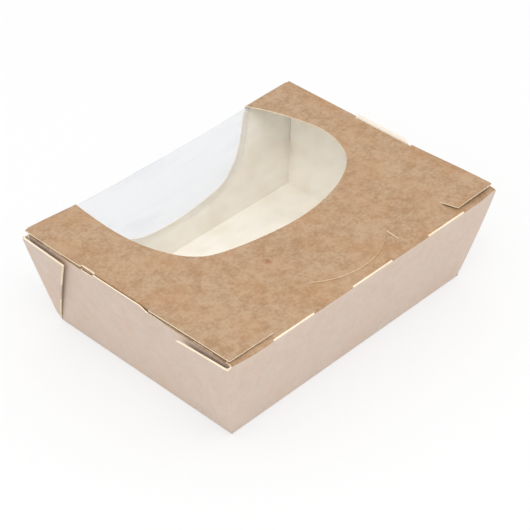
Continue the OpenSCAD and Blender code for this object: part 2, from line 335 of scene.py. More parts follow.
def settle_feet(obj, outer):
    """Keeps the lining of the corner feet inside the walls, and all of the box above the floor.

    The first points of the mesh, as many as outer, are those of the kraft side.
    """
    for vertex in obj.data.vertices:
        x, y, z = vertex.co / MM
        if vertex.index >= outer and z < FOOT_H:
            z = max(z, LINING_IN)
            deep_x, deep_y = end_x(z) - LINING_IN, long_y(z) - LINING_IN
            x, y = max(-deep_x, min(deep_x, x)), max(-deep_y, min(deep_y, y))
        vertex.co = Vector((x, y, max(z, 0.0))) * MM


def thicken(obj, thickness, lined=True):
    """The sheet gets its thickness on the inner side. Board is lined there and has raw edges."""
    choose(obj)
    solid = obj.modifiers.new("Sheet", "SOLIDIFY")
    solid.thickness = thickness
    solid.offset = -1
    solid.use_even_offset = False
    if lined:
        solid.material_offset = LINING_STEP
        solid.material_offset_rim = RAW
    bpy.ops.object.modifier_apply(modifier=solid.name)


def add_cutter(name, outline, start, end):
    """A prism between two shifts of an outline, with the raw edge as its finish."""
    deselect()
    bpy.ops.mesh.primitive_circle_add(vertices=len(outline), radius=1, fill_type="NGON")
    cutter = bpy.context.object
    cutter.name = name
    for vertex, point in zip(cutter.data.vertices, outline):
        vertex.co = (Vector(point) + Vector(start)) * MM
    bpy.ops.object.mode_set(mode="EDIT")
    bpy.ops.mesh.select_all(action="SELECT")
    shift = (Vector(end) - Vector(start)) * MM
    bpy.ops.mesh.extrude_region_move(TRANSFORM_OT_translate={"value": shift})
    bpy.ops.mesh.select_all(action="SELECT")
    bpy.ops.mesh.normals_make_consistent(inside=False)
    bpy.ops.object.mode_set(mode="OBJECT")
    cutter.data.materials.append(bpy.data.materials["raw_edge"])
    return cutter


def cut(obj, cutter):
    """Takes the cutter's space out of the board."""
    choose(obj)
    cutting = obj.modifiers.new("Cut", "BOOLEAN")
    cutting.operation = "DIFFERENCE"
    cutting.solver = "EXACT"
    cutting.object = cutter
    cutting.material_mode = "TRANSFER"
    bpy.ops.object.modifier_apply(modifier=cutting.name)
    if not obj.data.polygons:
        raise RuntimeError(f"{cutter.name} took all of {obj.name}")
    bpy.data.objects.remove(cutter)


def dress(obj):
    """The finishes of the board, in the order of the slots."""
    for name in FINISHES:
        obj.data.materials.append(bpy.data.materials[name])


def smooth_shade(obj, angle=35):
    choose(obj)
    bpy.ops.object.shade_smooth_by_angle(angle=math.radians(angle))


# Shape of the walls


def long_y(z):
    """Outer face of a long wall at height z."""
    return BASE_Y + LONG_SLOPE * z


def end_x(z):
    """Outer face of an end wall at height z."""
    return BASE_X + END_SLOPE * z


def start_share(t):
    """How far the layers of a web have spread: they leave the foot of the corner as one."""
    return min(1.0, t / WEB_SPREAD)


def corner_x(z, t):
    """Outer face of a web at the corner, with t as the share of the wall's height."""
    return end_x(z) + (LAYER_GAP + HEEL_GAP + HEEL_SPREAD * t) * start_share(t)


def heel_gap(t):
    """How far the inner layer of a web stands off the end wall."""
    return (HEEL_GAP + HEEL_SPREAD * t) * start_share(t)


def corner_y(z, t):
    """Place of a corner's upper end, which has drawn in a little from the wall's plane."""
    return long_y(z) - CORNER_DRAW * t ** 3


def end_wall_reach(z, t):
    """End of the end wall, where the heel of a web joins it."""
    return corner_y(z, t) - LAYER_GAP * start_share(t) - heel_gap(t) / 2


def lid_dip(x, distance):
    """How far the rear fold and the board beside it have sunk towards the box."""
    lid = bpy.context.scene.window_box_lid
    side, amount = (HINGE_LEFT, lid.dip_left) if x < WINDOW_X else (HINGE_RIGHT, lid.dip_right)
    edge = abs(WINDOW_X + side * WINDOW_HALF)
    share = max(0.0, min(1.0, (STRIP_HALF - abs(x)) / (STRIP_HALF - edge)))
    return amount / MM * share ** 1.3 * math.exp(-(distance / DIP_REACH) ** 2)


def wall_column(d, x_top, top):
    """A line up a long wall, from its foot to its top."""
    def point(t):
        z = FOLD_R + t * (top - FOLD_R)
        high = corner_x(top, 1) - CORNER_R
        x = x_top * (corner_x(z, t) - CORNER_R * start_share(t)) / high
        near_corner = smooth_step((abs(x_top) - DRAW_FROM) / (high - DRAW_FROM))
        y = mix(long_y(z), corner_y(z, t), near_corner)
        if d > 0:
            dip = lid_dip(x, HINGE_Z - z)
            y -= dip
            z -= dip
        return x, d * y, z
    return point


def corner_column(s, d, part, share):
    """A line up one corner: round the wall's edge, along the web, back, and to the end wall."""
    tops = {"edge": WEB_TOP, "outer": mix(WEB_TOP, WEB_TIP, share), "turn": WEB_TIP,
            "inner": mix(WEB_TIP, WEB_TOP, share), "heel": WEB_TOP}

    def point(t):
        z = FOLD_R + t * (tops[part] - FOLD_R)
        k = start_share(t)
        r, gap = CORNER_R * k, LAYER_GAP * k
        x, y, reach = corner_x(z, t), corner_y(z, t), max(WEB_LENGTH[d] * t, 1e-6)
        spring = WEB_SPRING[d] * t
        angle = share * math.pi
        heel = heel_gap(t) / 2
        heel_y = end_wall_reach(z, t)
        if part == "edge":
            across, depth = x - r + r * math.sin(angle / 2), y - r + r * math.cos(angle / 2)
        elif part == "turn":
            across = x + spring - gap / 2 + gap / 2 * math.cos(angle)
            depth = y - reach + gap / 2 - gap / 2 * math.sin(angle)
        elif part == "heel":
            across = x - gap - heel + heel * math.cos(angle)
            depth = heel_y + heel * math.sin(angle)
        else:
            near = y - r if part == "outer" else y - reach + gap / 2
            far = y - reach + gap / 2 if part == "outer" else heel_y
            depth = mix(near, far, share)
            across = x + spring * max(0.0, (y - depth) / reach) ** 1.5
            across -= gap if part == "inner" else 0
        return s * across, d * depth, z
    return point


def end_column(s, y_top, top):
    """A line up an end wall, from its foot to its top."""
    def point(t):
        z = FOLD_R + t * (top - FOLD_R)
        y = y_top * end_wall_reach(z, t) / end_wall_reach(top, 1)
        return s * end_x(z), y, z
    return point


def corner_columns(s, d):
    """The columns of one corner, from the long wall to the end wall, each with its part's name."""
    steps = [(part, i / count) for part, count in CORNER_STEPS for i in range(1, count + 1)]
    return [(part, corner_column(s, d, part, share)) for part, share in steps]


FRONT_STEPS = both_sides([0, 6.6, 13.3, 20, EAR_IN - RISER, EAR_IN, 32.5, 38.7, 44.5, 50, 56, EAR_OUT,
                          EAR_OUT + RISER, 64.3, 70, 75, 80, 84, 87, 88.8])
REAR_STEPS = both_sides([0, 10, 20, 30, 40, 47, 54, 60, 66, 72, 78, 83, 86.5])
END_STEPS = [-64.8, -64, -60, -54.5, -48, -42.5, -35, -29, SLOT_FRONT, -19, TAB_FRONT, -14, -13, -12, -11,
             -10, 0, 10, TAB_REAR, 24.5, SLOT_REAR, 35, 42.5, 48, 54.5, 60, 64, 64.8]
END_TOP = END_Z - FOLD_R
FRONT_TOP = FRONT_Z - FOLD_R

# Rows of a round fold, below zero, and of a wall, as shares of its height
FOLD_ROWS = [-1, -0.66, -0.33]
WALL_ROWS = FOLD_ROWS + [0, WEB_FOOT, WEB_SPREAD, 0.25, WEB_UNCUT[0], 0.52, WEB_UNCUT[1], 0.78, 0.9, 1]


def wall_ring():
    """Every column round the box, seen from above against the clock, beginning at the front left."""
    front = [("wall", wall_column(-1, x, FRONT_TOP)) for x in FRONT_STEPS]
    right = [("wall", end_column(1, y, END_TOP)) for y in END_STEPS]
    rear = [("wall", wall_column(1, x, STRIP_Z)) for x in reversed(REAR_STEPS)]
    left = [("wall", end_column(-1, y, END_TOP)) for y in reversed(END_STEPS)]
    ring = front + corner_columns(1, -1) + right + corner_columns(1, 1)[::-1] + rear
    ring += corner_columns(-1, 1) + left + corner_columns(-1, -1)[::-1]
    return ring + ring[:1]


def place_on_ring(column, t):
    """A point of a wall, or of the round fold between the wall and the base, below zero."""
    kind, point = column
    if t >= 0:
        return point(t)
    x, y, _ = point(0)
    turn = -t * math.pi / 2
    inset = FOLD_R * (1 - math.cos(turn))
    flat_x, flat_y = end_x(FOLD_R), long_y(FOLD_R)
    x, y = max(-flat_x, min(flat_x, x)), max(-flat_y, min(flat_y, y))
    if kind != "wall":
        x, y = math.copysign(flat_x, x), math.copysign(flat_y, y)
    return x * (1 - inset / flat_x), y * (1 - inset / flat_y), FOLD_R * (1 - math.sin(turn))


def add_walls():
    """The walls and webs as one ring of board, closed below by the base."""
    ring = wall_ring()

    def finish(column, row):
        kinds = ring[column][0], ring[column + 1][0]
        low, high = WALL_ROWS[row], WALL_ROWS[row + 1]
        cut_here = low >= WEB_FOOT and not (low >= WEB_UNCUT[0] and high <= WEB_UNCUT[1])
        # The walls take the kraft with the painted sheen; the cut turns of the webs show the raw edge
        return RAW if "turn" in kinds and cut_here else KRAFT_WALL_PAINTED_SHEEN

    walls = add_patch("walls", ring, WALL_ROWS, place_on_ring, finish=finish)
    edit(walls)
    bpy.ops.mesh.select_mode(type="EDGE")
    bpy.ops.mesh.select_all(action="SELECT")
    bpy.ops.mesh.remove_doubles(threshold=WELD * MM)
    bpy.ops.mesh.select_all(action="DESELECT")
    bpy.ops.mesh.select_non_manifold(use_wire=False, use_multi_face=False, use_non_contiguous=False,
                                     use_verts=False)
    bpy.ops.object.mode_set(mode="OBJECT")
    for edge in walls.data.edges:
        low = all(walls.data.vertices[v].co.z < WELD * MM for v in edge.vertices)
        edge.select = edge.select and low
    bpy.ops.object.mode_set(mode="EDIT")
    bpy.ops.mesh.edge_face_add()
    bpy.ops.mesh.select_all(action="SELECT")
    bpy.ops.mesh.normals_make_consistent(inside=False)
    bpy.ops.object.mode_set(mode="OBJECT")
    return walls


# Flaps along the tops of the walls


def ear_out(depth):
    """Outer side of an ear, which runs in towards its head."""
    return EAR_OUT - max(0.0, depth - EAR_STRAIGHT) * EAR_TAPER


def place_on_front_flap(x, depth):
    """A point of the round front fold, given below zero, or of the flap behind it."""
    if depth < 0:
        turn = (1 + depth) * math.pi / 2
        along = wall_column(-1, x, FRONT_TOP)(1)
        y = along[1] + FOLD_R * (1 - math.cos(turn))
        return along[0], y, FRONT_TOP + FOLD_R * math.sin(turn)
    x_fold, side = x, 1 if x >= 0 else -1
    reach = abs(x)
    lean = 0.0
    if EAR_IN <= reach <= EAR_OUT:
        share = (reach - EAR_IN) / (EAR_OUT - EAR_IN)
        reach = mix(EAR_IN, ear_out(depth), share)
        lean = smooth_step((depth - EAR_RISE_FROM) / (FLAP_D - EAR_RISE_FROM))
    elif reach > EAR_OUT:
        taper = FLAP_TAPER * (reach - EAR_OUT) / (STRIP_HALF - EAR_OUT)
        reach -= max(0.0, depth - EAR_STRAIGHT) * taper
    crown = EAR_CROWN * math.sin(math.pi * max(0.0, min(1.0, (depth - FLAP_D) / (EAR_D - FLAP_D))))
    x = side * reach + LOCK_X * min(1.0, depth / EAR_RISE_FROM)
    y = wall_column(-1, x_fold, FRONT_TOP)(1)[1] + FOLD_R + depth
    z = mix(FRONT_Z, place_on_lid(x, y)[2] + crown, lean)
    return x, y, z


def add_front_flap():
    """The flap that folds in along the front, with its two ears up in the notches of the lid."""
    rows = FOLD_ROWS + [0, 1.5, EAR_STRAIGHT, 5.5, EAR_RISE_FROM, 9.3, 10.7, FLAP_D, 13, 14.5, 16, EAR_D]

    def middle(column):
        return (FRONT_STEPS[column] + FRONT_STEPS[column + 1]) / 2

    def keep(column, row):
        return rows[row] < FLAP_D or LOBE[0] < abs(middle(column)) < LOBE[1]

    def finish(column, row):
        place = middle(column)
        in_cut = rows[row] < 0 and any(low < place < high for low, high in FOLD_CUTS)
        beside_ear = EAR_IN - RISER < abs(place) < EAR_IN
        return RAW if in_cut or (beside_ear and rows[row] >= EAR_RISE_FROM) else KRAFT_TOP

    return add_patch("front_flap", FRONT_STEPS, rows, place_on_front_flap, keep, finish)


def add_end_flap(s):
    """The flap that folds in under the lid at one end, with the slot round the standing tab."""
    rows = FOLD_ROWS + [0, SLOT_D, 5, 8, END_FLAP_D]
    steps = END_STEPS[1:-1] if s > 0 else END_STEPS[::-1][1:-1]

    def place(y_top, depth):
        x, y, z = end_column(s, y_top, END_TOP)(1)
        if depth < 0:
            turn = (1 + depth) * math.pi / 2
            return x - s * FOLD_R * (1 - math.cos(turn)), y, z + FOLD_R * math.sin(turn)
        y *= 1 - END_FLAP_TAPER * depth / END_FLAP_D
        return x - s * (FOLD_R + depth), y, END_Z + END_FLAP_RISE * depth / END_FLAP_D

    def keep(column, row):
        middle = (steps[column] + steps[column + 1]) / 2
        return not (SLOT_FRONT < middle < SLOT_REAR and rows[row] < SLOT_D)

    def finish(column, row):
        middle = abs(steps[column] + steps[column + 1]) / 2
        return RAW if END_CUT[0] < middle < END_CUT[1] and rows[row] == FOLD_ROWS[-1] else KRAFT_TOP

    return add_patch("end_flap", steps, rows, place, keep, finish)


def add_standing_tab(s):
    """The tab that stays upright where an end flap folds away, with an S-shaped front end."""
    steps = [y for y in END_STEPS if TAB_FRONT <= y <= TAB_REAR]
    steps = steps if s > 0 else steps[::-1]

    def place(y_top, share):
        _, y, z = end_column(s, y_top, END_TOP)(1)
        high = TAB_H[s] * smooth_step((y_top - TAB_FRONT) / TAB_CURVE) + TAB_H_LEAST
        z += (END_Z - END_TOP + high) * share
        return s * (end_x(z) + TAB_LEAN * share), y, z

    rows = [0, 0.35, 0.7, 1]
    # The standing tab takes the walls' kraft with its painted sheen
    return add_patch("standing_tab", steps, rows, place, finish=lambda column, row: KRAFT_WALL_PAINTED_SHEEN)


def window_line(knots, reach):
    """The window's edge as distances along the box and from the hinge."""
    line = smooth_line(knots, WINDOW_STEPS)
    return [(WINDOW_X + point.x * WINDOW_HALF, point.y * reach) for point in line]


def wall_window_cutter():
    """Cuts the window's part in the rear wall."""
    slant = math.hypot(1, LONG_SLOPE)
    line = [(x, 0, HINGE_Z - down / slant) for x, down in window_line(WALL_KNOTS, WINDOW_WALL)]
    low_left, low_right = line[0][0], line[-1][0]
    outline = line + [(low_right, 0, HINGE_Z + 0.2), (low_left, 0, HINGE_Z + 0.2)]
    return add_cutter("wall_window", outline, (0, WALL_CUT[0], 0), (0, WALL_CUT[1], 0))


# Lid

LID_STEPS = both_sides([0, 10, 20, 30, 40, 47, 54, 60, 66, 72, 78, 83, 86.5, TUCK_X - FOLD_R, LID_HALF])
LID_ROWS = [LID_FRONT, -62, -58, -54, -50, -45, -40, -34, -28, TUCK_FRONT - TUCK_BARB, TUCK_FRONT, -8, 0, 8,
            14, TUCK_REAR, TUCK_REAR + TUCK_BARB, 34, 40, 46, 51, 56, 60, 63, 65.2]
HINGE_BACK = long_y(LID_Z - HINGE_R) - HINGE_R


def place_on_lid(x, y):
    """A point of the lid's face, with its sprung front corners and the dip of the rear fold."""
    lid = bpy.context.scene.window_box_lid
    amount = (lid.lift_right if x > 0 else lid.lift_left) / MM
    side = smooth_step((abs(x) - LIFT_X) / (LIFT_END - LIFT_X))
    front = smooth_step((-y - LIFT_Y) / (-LID_FRONT - LIFT_Y))
    lift = amount * side * front
    dip = lid_dip(x, HINGE_Y - y) if abs(x) < STRIP_HALF else 0
    return x, y - dip, LID_Z + lift - dip


def place_on_hinge(x, share):
    """A point of the round rear fold, and of the strip of the rear wall below it."""
    if share <= 1:
        turn = share * math.pi / 2
        y = HINGE_BACK + HINGE_R * math.sin(turn)
        z = LID_Z - HINGE_R * (1 - math.cos(turn))
    else:
        z = mix(LID_Z - HINGE_R, STRIP_Z, share - 1)
        y = long_y(z)
    dip = lid_dip(x, HINGE_Z - z if share > 1 else LID_Z - HINGE_Z)
    return x, y - dip, z - dip


def add_tuck_tab(s):
    """The tab that folds down from the lid inside the end wall, with a barb at each end."""
    steps = [TUCK_FRONT - TUCK_BARB, -19, TUCK_FRONT, -8, 0, 8, 14, TUCK_REAR, 24.5, TUCK_REAR + TUCK_BARB]
    steps = steps[::-1] if s > 0 else steps
    rows = FOLD_ROWS + [0, 0.15, PINCH_FROM, 0.6, 1]

    def place(y, depth):
        if depth < 0:
            turn = (1 + depth) * math.pi / 2
            x = TUCK_X - FOLD_R * (1 - math.sin(turn))
            return s * x, y, LID_Z - FOLD_R * (1 - math.cos(turn))
        down = depth * (TUCK_D - FOLD_R)
        if depth == 0 and not TUCK_FRONT <= y <= TUCK_REAR:
            down = BARB_TOP[s] - FOLD_R
        pinch = max(0.0, depth - PINCH_FROM) / (1 - PINCH_FROM) * PINCH * TUCK_BARB
        y = max(TUCK_FRONT - TUCK_BARB + pinch, min(TUCK_REAR + TUCK_BARB - pinch, y))
        return s * (TUCK_X - END_SLOPE * down), y, LID_Z - FOLD_R - down

    def keep(column, row):
        return rows[row] >= 0 or TUCK_FRONT < (steps[column] + steps[column + 1]) / 2 < TUCK_REAR

    return add_patch("tuck_tab", steps, rows, place, keep)


def lid_front_line():
    """Front edge of the lid from left to right, as places behind the front fold."""
    rise = TONGUE_END - TONGUE_TIP
    radius = (TONGUE_HALF ** 2 + rise ** 2) / (2 * rise)
    right = []
    for i in range(TONGUE_STEPS + 1):
        x = TONGUE_HALF * i / TONGUE_STEPS
        right.append((x, TONGUE_TIP + radius - math.sqrt(radius ** 2 - x ** 2)))
    head = ear_out(EAR_D)
    right += [(EAR_IN - LOCK_GAP, EAR_D - 0.5), (EAR_IN, EAR_D + LOCK_GAP),
              (head - CHAMFER, EAR_D + LOCK_GAP), (head + EAR_GAP, EAR_D + 1),
              (ear_out(NOTCH_MOUTH) + EAR_GAP, NOTCH_MOUTH), (EAR_OUT + CHAMFER, FRONT_SET),
              (LID_HALF - 1, FRONT_SET), (LID_HALF, FRONT_SET + 1)]
    left = [(-x, depth) for x, depth in right[:0:-1]]
    line = []
    for x, depth in left + right:
        shift = LOCK_X if abs(x) < LID_HALF - 2 else 0
        line.append((x + shift, depth - FRONT_Y))
    return line


def add_lid_cutters():
    """What is cut from the lid: the board in front of its edge, and the window."""
    front = [(x, y, 0) for x, y in lid_front_line()]
    side, end = LID_HALF + CUT_PAST_SIDE, LID_FRONT - CUT_PAST_END
    outline = front + [(side, front[-1][1], 0), (side, end, 0), (-side, end, 0), (-side, front[0][1], 0)]
    line = [(x, HINGE_Y - back, 0) for x, back in window_line(LID_KNOTS, WINDOW_LID)]
    behind = HINGE_Y + CUT_PAST_END
    window = line + [(line[-1][0], behind, 0), (line[0][0], behind, 0)]
    return [add_cutter("front_edge", outline, (0, 0, FRONT_CUT[0]), (0, 0, FRONT_CUT[1])),
            add_cutter("lid_window", window, (0, 0, WINDOW_CUT[0]), (0, 0, WINDOW_CUT[1]))]


# Film


def window_crossings(run):
    """Left and right end of the window this far from the hinge, or nothing where it has ended."""
    knots, reach = (LID_KNOTS, WINDOW_LID) if run < 0 else (WALL_KNOTS, WINDOW_WALL)
    line = window_line(knots, reach)
    found = []
    for a, b in zip(line, line[1:]):
        if a[1] != b[1] and min(a[1], b[1]) <= abs(run) <= max(a[1], b[1]):
            found.append(a[0] + (b[0] - a[0]) * (abs(run) - a[1]) / (b[1] - a[1]))
    return (min(found), max(found)) if len(found) > 1 else None


def film_x(x, run):
    """The film's outline: square on the lid, close round the window on the rear wall."""
    left, right = window_crossings(max(0.01, min(run - FILM_LAP, WINDOW_WALL * FILM_TIP)))
    share = (x - FILM_LEFT) / (FILM_RIGHT - FILM_LEFT)
    on_wall = smooth_step((run + FILM_TURN) / FILM_TURN)
    start, end = mix(FILM_LEFT, left - FILM_LAP, on_wall), mix(FILM_RIGHT, right + FILM_LAP, on_wall)
    return mix(start, end, share)


def film_place(x, run):
    """A point of the film: run is the way along it from the hinge, below zero on the lid."""
    x = film_x(x, run)
    film = bpy.context.scene.window_box_film
    left, right = WINDOW_X + HINGE_LEFT * WINDOW_HALF, WINDOW_X + HINGE_RIGHT * WINDOW_HALF
    share = (x - left) / (right - left)
    inside = 0.0 if not 0 < share < 1 else math.sin(math.pi * share) ** 0.7
    lid_face = HINGE_Z - FILM_UNDER_LID
    corner = long_y(lid_face) - FILM_INSIDE_WALL
    slant = math.hypot(1, LONG_SLOPE)
    r = mix(FILM_R_END, FILM_R_MIDDLE, inside)
    if run < -r:
        y, z = corner + run, lid_face
    elif run > r:
        y, z = corner - run * LONG_SLOPE / slant, lid_face - run / slant
    else:
        t = (run + r) / (2 * r)
        y = corner - (1 - t) ** 2 * r - t ** 2 * r * LONG_SLOPE / slant
        z = lid_face - t ** 2 * r / slant
    settings = bpy.context.scene.window_box_lid
    ends = mix(settings.dip_left, settings.dip_right, max(0.0, min(1.0, share))) / MM
    if 0 <= share <= 1:
        dip = ends + (film.sag / MM - ends) * inside
    else:
        dip = lid_dip(x, 0)
    dip *= math.exp(-(run / DIP_REACH) ** 2)
    # Two slow waves that cross, strongest at the fold
    ripple = RIPPLE * math.sin(x / 7 + run / 11) * math.sin(run / 9 - x / 23)
    ripple *= math.exp(-(run / RIPPLE_REACH) ** 2) * inside
    return x, y - dip, z - dip - ripple - FILM_UNDER_LID * inside


def film_veil(x, run):
    """How much light the film throws back: little on the lid, none where it is glued to the board."""
    x = film_x(x, run)
    ends = window_crossings(run)
    if ends is None:
        return 0.0
    near_left = smooth_step((x - ends[0] + VEIL_EDGE) / VEIL_EDGE)
    near_right = smooth_step((ends[1] + VEIL_EDGE - x) / VEIL_EDGE)
    on_wall = smooth_step((run + VEIL_TURN) / (2 * VEIL_TURN))
    return near_left * near_right * mix(LID_VEIL, 1.0, on_wall)


# Finishes


class Graph:
    """The nodes of a material, a node group or the world, with the few steps that the looks need."""

    def __init__(self, tree):
        self.nodes, self.links = tree.nodes, tree.links

    def add(self, kind, **values):
        """A node with its settings, and with its inputs where the name is an input's."""
        node = self.nodes.new(kind)
        for key, value in values.items():
            name = key.title()
            if name in node.inputs:
                node.inputs[name].default_value = value
            else:
                setattr(node, key, value)
        return node

    def feed(self, socket, value):
        """An input gets another node's output, a colour or a number."""
        if isinstance(value, bpy.types.NodeSocket):
            self.links.new(value, socket)
        else:
            socket.default_value = (*value, 1) if isinstance(value, tuple) else value

    def noise(self, place, scale, detail=3.0, roughness=0.55):
        """Noise from 0 to 1, with its scale per metre."""
        node = self.add("ShaderNodeTexNoise", scale=scale, detail=detail, roughness=roughness)
        self.feed(node.inputs["Vector"], place)
        return node.outputs["Factor" if "Factor" in node.outputs else "Fac"]

    def stretch(self, place, share, turn):
        """A place for noise that is drawn out along one direction, turned by some degrees."""
        node = self.add("ShaderNodeMapping")
        node.inputs["Scale"].default_value = (share, 1.0, 1.0)
        node.inputs["Rotation"].default_value = (0, 0, math.radians(turn))
        self.feed(node.inputs["Vector"], place)
        return node.outputs["Vector"]

    def spread(self, value, low, high, to_low=0.0, to_high=1.0):
        """A value between low and high, spread out between to_low and to_high."""
        node = self.add("ShaderNodeMapRange")
        limits = {"From Min": low, "From Max": high, "To Min": to_low, "To Max": to_high}
        for name, limit in limits.items():
            node.inputs[name].default_value = limit
        self.feed(node.inputs["Value"], value)
        return node.outputs["Result"]

    def calculate(self, operation, a, b):
        node = self.add("ShaderNodeMath", operation=operation)
        self.feed(node.inputs[0], a)
        self.feed(node.inputs[1], b)
        return node.outputs[0]

    def weigh(self, *parts):
        """The sum of several values, each with its weight."""
        weighed = [self.calculate("MULTIPLY", value, weight) for value, weight in parts]
        total = weighed[0]
        for value in weighed[1:]:
            total = self.calculate("ADD", total, value)
        return total

    def blend_colours(self, share, a, b):
        node = self.add("ShaderNodeMix", data_type="RGBA")
        self.feed(node.inputs["Factor"], share)
        self.feed(node.inputs[6], a)
        self.feed(node.inputs[7], b)
        return node.outputs[2]

    def blend_values(self, share, a, b):
        node = self.add("ShaderNodeMix")
        self.feed(node.inputs["Factor"], share)
        self.feed(node.inputs["A"], a)
        self.feed(node.inputs["B"], b)
        return node.outputs["Result"]


def new_material(name):
    """A new material, given as its graph."""
    made = bpy.data.materials.new(name)
    made.use_nodes = True
    return Graph(made.node_tree)


def board_surface_group():
    """Shared look of the board: clouds, blotches, fibres and fine grain, as masks and a height."""
    if "board_surface" in bpy.data.node_groups:
        return bpy.data.node_groups["board_surface"]
    group = bpy.data.node_groups.new("board_surface", "ShaderNodeTree")
    group.interface.new_socket(name="Place", in_out="INPUT", socket_type="NodeSocketVector")
    group.interface.new_socket(name="Contrast", in_out="INPUT", socket_type="NodeSocketFloat")
    for name in ("Mottle", "Fibres", "Blush", "Height"):
        group.interface.new_socket(name=name, in_out="OUTPUT", socket_type="NodeSocketFloat")
    graph = Graph(group)
    start, end = graph.add("NodeGroupInput"), graph.add("NodeGroupOutput")
    place = start.outputs["Place"]
    clouds = graph.spread(graph.noise(place, 38, 2), 0.34, 0.66)
    blotches = graph.spread(graph.noise(place, 170, 4, 0.66), 0.36, 0.66)
    flecks = graph.spread(graph.noise(place, 620, 3, 0.62), 0.35, 0.7)
    fibres = graph.noise(graph.stretch(place, 0.35, 28), 1500, 2, 0.7)
    grain = graph.noise(place, 3800, 1, 0.5)
    blush = graph.spread(graph.noise(place, 60, 2), 0.45, 0.72)
    total = graph.weigh((clouds, 0.2), (blotches, 0.4), (flecks, 0.4))
    centred = graph.calculate("SUBTRACT", total, 0.5)
    scaled = graph.calculate("MULTIPLY", centred, start.outputs["Contrast"])
    mottle = graph.calculate("ADD", scaled, 0.5)
    height = graph.weigh((fibres, 0.6), (grain, 0.4))
    for name, value in (("Mottle", mottle), ("Fibres", fibres), ("Blush", blush), ("Height", height)):
        graph.feed(end.inputs[name], value)
    return group


def board_material(name, pale, dark, warm, contrast, roughness, bump, stains=()):
    """Kraft or lining: a pale ground with darker clouds, warm blushes, fibres and a fine tooth."""
    graph = new_material(name)
    shader = graph.nodes["Principled BSDF"]
    shader.inputs["Specular IOR Level"].default_value = 0.35
    place = graph.add("ShaderNodeTexCoord").outputs["Object"]
    surface = graph.add("ShaderNodeGroup", node_tree=board_surface_group())
    surface.inputs["Contrast"].default_value = contrast
    graph.feed(surface.inputs["Place"], place)
    ground = graph.blend_colours(surface.outputs["Mottle"], pale, dark)
    blush = graph.calculate("MULTIPLY", surface.outputs["Blush"], 0.35)
    ground = graph.blend_colours(blush, ground, warm)
    fibre = graph.spread(surface.outputs["Fibres"], 0.56, 0.85, 0, 0.14)
    ground = graph.blend_colours(fibre, ground, tuple(min(1.0, c * 1.35) for c in pale))
    for centre, reach, strength in stains:
        away = graph.add("ShaderNodeVectorMath", operation="DISTANCE")
        away.inputs[1].default_value = [v * MM for v in centre]
        graph.feed(away.inputs[0], place)
        rough = graph.calculate("MULTIPLY", graph.noise(place, 700, 3), 2.4 * MM)
        ragged = graph.calculate("ADD", away.outputs["Value"], rough)
        mask = graph.spread(ragged, 1.4 * MM, (reach + 1.6) * MM, strength, 0)
        ground = graph.blend_colours(mask, ground, STAIN)
    graph.feed(shader.inputs["Base Color"], ground)
    rough = graph.spread(surface.outputs["Mottle"], 0, 1, roughness - 0.06, roughness + 0.08)
    graph.feed(shader.inputs["Roughness"], rough)
    tooth = graph.add("ShaderNodeBump", strength=bump, distance=TOOTH)
    graph.feed(tooth.inputs["Height"], surface.outputs["Height"])
    graph.feed(shader.inputs["Normal"], tooth.outputs["Normal"])


def film_material(tint):
    """Thin clear film: mostly see-through, with a tinted veil as painted reflection that grows at a flat
    angle, and faint painted reflection streaks.
    """
    graph = new_material("window_film")
    shader = graph.nodes["Principled BSDF"]
    shader.inputs["Base Color"].default_value = (*tint, 1)
    shader.inputs["Specular IOR Level"].default_value = 0.8
    edge_on = graph.add("ShaderNodeLayerWeight", blend=0.32)
    place = graph.add("ShaderNodeTexCoord").outputs["Object"]
    # Painted reflection: faint pale streaks of the tinted layer, drawn out along one direction
    painted_reflection_streaks = graph.noise(graph.stretch(place, 0.25, -24), 90, 3, 0.5)
    painted_reflection_streaks = graph.spread(painted_reflection_streaks, 0.5, 0.72, 0, 0.05)
    # The veil: the tinted layer as painted reflection, stronger at a flat angle
    veil = graph.spread(edge_on.outputs["Facing"], 0, 1, 0.04, 0.22)
    path = graph.add("ShaderNodeLightPath")
    shadow, diffuse = path.outputs["Is Shadow Ray"], path.outputs["Is Diffuse Ray"]
    seen = graph.calculate("SUBTRACT", 1.0, graph.calculate("MAXIMUM", shadow, diffuse))
    free = graph.add("ShaderNodeAttribute", attribute_name="veil")
    shown = graph.calculate("ADD", veil, painted_reflection_streaks)
    shown = graph.calculate("MULTIPLY", shown, free.outputs["Fac"])
    graph.feed(shader.inputs["Alpha"], graph.calculate("MULTIPLY", shown, seen))
    graph.feed(shader.inputs["Roughness"], graph.spread(painted_reflection_streaks, 0, 0.05, 0.08, 0.3))


def add_materials():
    """All finishes. Each board gives its contrast, roughness and bump after its three colours."""
    board = bpy.context.scene.window_box_board
    film = bpy.context.scene.window_box_film
    board_material("kraft_top", tuple(board.kraft), tuple(board.kraft_dark), KRAFT_BLUSH,
                   2.1, 0.62, 0.35, STAINS)
    # The walls: the same kraft, painted paler and pinker as a painted sheen
    board_material("kraft_wall_painted_sheen", tuple(board.wall), tuple(board.painted_sheen_wall_dark), PAINTED_SHEEN_WALL_BLUSH,
                   1.0, 0.55, 0.3)
    # The lid's lining is the same cream board painted darker, as painted shade
    for name, shade in (("lid_lining_painted_shade", LID_LINING_PAINTED_SHADE), ("wall_lining", 1.0)):
        board_material(name, dimmed(board.lining, shade), dimmed(board.lining, shade * 0.93), LINING_BLUSH,
                       0.6, 0.5, 0.15)
    board_material("raw_edge", tuple(board.raw), dimmed(board.raw, 0.85), RAW_BLUSH,
                   1.2, 0.8, 0.5)
    film_material(tuple(film.tint))


# Steps that build the box


class WINDOWBOX_OT_finishes(bpy.types.Operator):
    """Makes the kraft, lining, raw edge and film materials."""

    bl_idname = "window_box.finishes"
    bl_label = "Make Finishes"

    def execute(self, context):
        add_materials()
        return {"FINISHED"}


